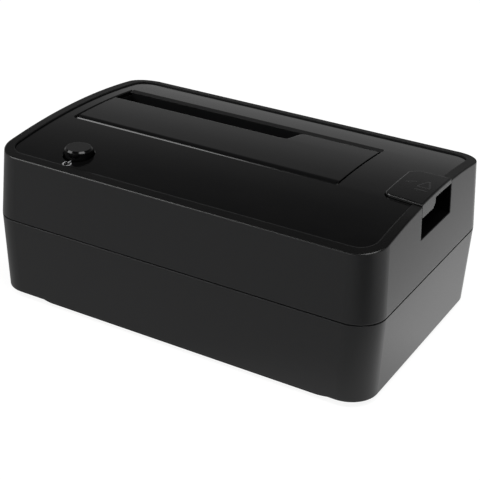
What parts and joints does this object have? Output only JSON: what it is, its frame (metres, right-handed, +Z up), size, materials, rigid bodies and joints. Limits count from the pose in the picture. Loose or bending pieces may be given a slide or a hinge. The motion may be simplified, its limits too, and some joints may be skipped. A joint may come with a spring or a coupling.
{
  "type": "hard drive docking station",
  "caption": "Desktop dock for bare hard drives: drafted two-part housing, glossy arched top with sprung drive flap, power button, eject button with rocker, rear data and power sockets",
  "frame": {"origin": "middle of the footprint, on the surface that the dock stands on", "axes": "+X along the long side towards the eject button, -Y the front, +Z up"},
  "size_m": [0.145, 0.092, 0.058],
  "materials": {
    "housing": "fine spark-eroded texture",
    "panel": "polished",
    "flap": "satin gloss",
    "button": "polished",
    "eject": "satin gloss",
    "bay": "moulded",
    "rubber": "matt",
    "steel": "zinc plated",
    "spring_steel": "drawn wire",
    "board": "solder mask",
    "connector": "moulded",
    "port_shell": "nickel plated",
    "chip": "moulded",
    "can": "drawn can",
    "inductor": "ferrite",
    "led": "clear",
    "cable": "flexible sheath",
    "acetal": "moulded"
  },
  "bodies": {
    "root": {"upper_housing": "housing", "lower_housing": "housing", "base_plate": "bay", "top_panel": "panel", "rubber_feet": "rubber", "housing_screws": "steel", "bay_screws": "steel", "board_screws": "steel", "switch_screws": "steel", "drive_bay": "bay", "flap_pin": "steel", "flap_spring": "spring_steel", "eject_spring": "spring_steel", "rocker_pin": "steel", "power_switch": "connector", "switch_board": "board", "status_led": "led", "cable_sockets": "acetal", "switch_ribbon": "cable", "main_board": "board", "drive_connector": "connector", "usb_port": "port_shell", "power_jack": "connector", "bridge_chip": "chip", "flash_chip": "chip", "crystal": "can", "capacitors": "can", "power_inductor": "inductor"},
    "flap_body": {"flap": "flap"},
    "eject_body": {"eject_button": "eject", "stem_clip": "spring_steel"},
    "rocker_body": {"eject_rocker": "acetal"},
    "power_body": {"power_button": "button", "switch_plunger": "acetal"}
  },
  "joints": [
    {"name": "flap_hinge", "type": "hinge", "parent": "root", "child": "flap_body", "pos_m": [0, -0.0066, 0.05364], "axis": [-1, 0, 0], "range_deg": [0, 88], "stiffness_Nm_per_rad": 0.004, "springref_deg": -34.38, "deforming": ["flap_spring"]},
    {"name": "eject_press", "type": "slide", "parent": "root", "child": "eject_body", "axis": [0, 0, -1], "range_m": [0, 0.007], "stiffness_N_per_m": 200, "springref_m": -0.012, "deforming": ["eject_spring"]},
    {"name": "rocker_pivot", "type": "hinge", "parent": "root", "child": "rocker_body", "pos_m": [0.028, 0.003, 0.0113], "axis": [0, 1, 0], "range_deg": [0, 11.89]},
    {"name": "power_press", "type": "slide", "parent": "root", "child": "power_body", "axis": [0, 0, -1], "range_m": [0, 0.0015], "stiffness_N_per_m": 300, "springref_m": -0.004}
  ],
  "couplings": [
    {"joint": "rocker_pivot", "follows": "eject_press", "rad_per_m": 29.624}
  ]
}
